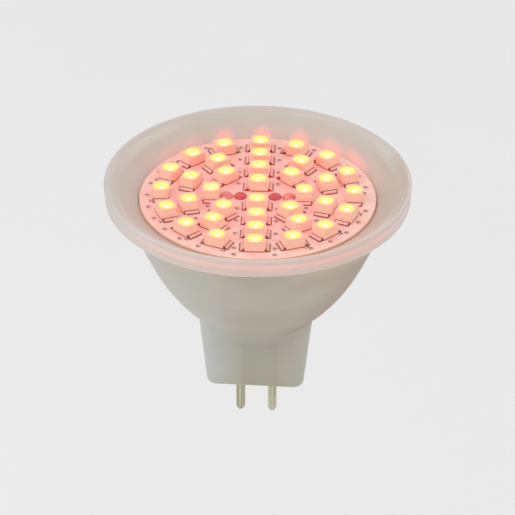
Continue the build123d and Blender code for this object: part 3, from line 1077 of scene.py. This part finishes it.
class SPOT_OT_driver(bpy.types.Operator):
    """Driver board, its parts and the wires up to the LED board"""

    bl_idname = "spotlight.driver"
    bl_label = "Driver"

    def execute(self, context):
        look = context.scene.spotlight_metal
        cover("driver_board", plain_finish("Driver laminate", linear(58, 120, 70), 0.45))
        cover("bridge_rectifier", plain_finish("Black epoxy", linear(36, 36, 38), 0.6, bump=0.3))
        cover("smoothing_capacitor", plain_finish("Capacitor can", look.can, 0.35, metallic=0.9))
        cover("series_resistors", plain_finish("Resistor ceramic", linear(30, 30, 34), 0.4))
        cover("lead_wire_right", plain_finish("Red sleeve", linear(170, 30, 26), 0.4))
        cover("lead_wire_left", plain_finish("Black sleeve", linear(30, 30, 30), 0.4))
        return {"FINISHED"}


class SPOT_OT_stage(bpy.types.Operator):
    """Floor, studio lamps and the camera"""

    bl_idname = "spotlight.stage"
    bl_label = "Stage"

    def execute(self, context):
        look = context.scene.spotlight_stage
        scene = context.scene
        scene.view_settings.view_transform = "Standard"
        paper = tuple(look.paper)

        material, tree, shader = new_material("Backdrop paper", 1.0)
        rays = tree.nodes.new("ShaderNodeLightPath")
        seen = maths(tree, "MAXIMUM", rays.outputs["Is Camera Ray"], rays.outputs["Is Glossy Ray"])
        seen = maths(tree, "MAXIMUM", seen, rays.outputs["Is Transmission Ray"])
        fill = tuple(channel * look.paper_fill for channel in paper)
        give_light(tree, shader, blend(tree, seen, BLACK, fill))
        mottled(tree, shader, paper, 0.02, 0.01)
        shader.inputs["Specular IOR Level"].default_value = 0.0
        shape = bmesh.new()
        disc(shape, Vector((0, 0, 0)), FLOOR_RADIUS, 96)
        floor = mesh_object("floor", shape, material)
        floor.location.z = PIN_TIP - look.floor_drop

        world = bpy.data.worlds.new("Studio air")
        world.use_nodes = True
        air = world.node_tree
        rays = air.nodes.new("ShaderNodeLightPath")
        colour = blend(air, rays.outputs["Is Camera Ray"], AIR, paper)
        air.links.new(colour, air.nodes["Background"].inputs["Color"])
        scene.world = world

        middle = Vector(LAMP_TARGET)
        for name, bearing, rise, distance, size, power, tint in LAMPS:
            data = bpy.data.lights.new(name, "AREA")
            data.shape = "DISK"
            data.size = size
            data.energy = power
            data.color = tint
            lamp = bpy.data.objects.new(name, data)
            towards = bearing_vector(math.radians(bearing), math.radians(rise))
            lamp.location = middle + towards * distance
            lamp.rotation_mode = "QUATERNION"
            lamp.rotation_quaternion = (lamp.location - middle).to_track_quat("Z", "Y")
            scene.collection.objects.link(lamp)

        data = bpy.data.cameras.new("photo_camera")
        data.sensor_width = 36.0
        data.lens = look.lens
        data.clip_start = 0.01
        data.clip_end = 20.0
        camera = bpy.data.objects.new("photo_camera", data)
        back = bearing_vector(look.camera_angle, look.camera_rise)
        camera.location = Vector(CAMERA_TARGET) + back * look.camera_distance
        camera.rotation_mode = "QUATERNION"
        roll = Quaternion((0.0, 0.0, 1.0), look.camera_roll)
        camera.rotation_quaternion = back.to_track_quat("Z", "Y") @ roll
        scene.collection.objects.link(camera)
        scene.camera = camera
        return {"FINISHED"}


def bearing_vector(bearing, rise):
    """Unit vector at a bearing from the front and a rise above the horizon."""
    level = math.cos(rise)
    return Vector((math.sin(bearing) * level, -math.cos(bearing) * level, math.sin(rise)))


class SPOT_PT_panel(bpy.types.Panel):
    """Buttons for the lamp's pieces and its stage"""

    bl_label = "LED Spotlight"
    bl_idname = "SPOT_PT_panel"
    bl_space_type = "VIEW_3D"
    bl_region_type = "UI"
    bl_category = "Spotlight"

    def draw(self, context):
        scene = context.scene
        for operator in OPERATORS:
            self.layout.operator(operator.bl_idname)
        for group_name, group_class in SETTINGS.items():
            box = self.layout.box()
            box.label(text=group_class.__name__)
            for setting in group_class.__annotations__:
                box.prop(getattr(scene, group_name), setting)


SETTINGS = {
    "spotlight_cup": CupSettings,
    "spotlight_board": BoardSettings,
    "spotlight_leds": LedSettings,
    "spotlight_solder": SolderSettings,
    "spotlight_metal": MetalSettings,
    "spotlight_stage": StageSettings,
}
OPERATORS = (
    SPOT_OT_cup,
    SPOT_OT_board,
    SPOT_OT_board_marks,
    SPOT_OT_leds,
    SPOT_OT_windows,
    SPOT_OT_solder,
    SPOT_OT_base,
    SPOT_OT_driver,
    SPOT_OT_stage,
)
CLASSES = (*SETTINGS.values(), *OPERATORS, SPOT_PT_panel)


def register():
    """Register the add-on's classes and its settings."""
    for item in CLASSES:
        bpy.utils.register_class(item)
    for name, group_class in SETTINGS.items():
        setattr(bpy.types.Scene, name, bpy.props.PointerProperty(type=group_class))


def unregister():
    """Take the settings and classes away again."""
    for name in SETTINGS:
        delattr(bpy.types.Scene, name)
    for item in reversed(CLASSES):
        bpy.utils.unregister_class(item)


def main():
    """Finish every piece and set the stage."""
    register()
    for operator in OPERATORS:
        name = operator.bl_idname.split(".")[1]
        result = getattr(bpy.ops.spotlight, name)()
        if result != {"FINISHED"}:
            raise RuntimeError(f"the operator {name} didn't finish")


if __name__ == "__main__":
    main()
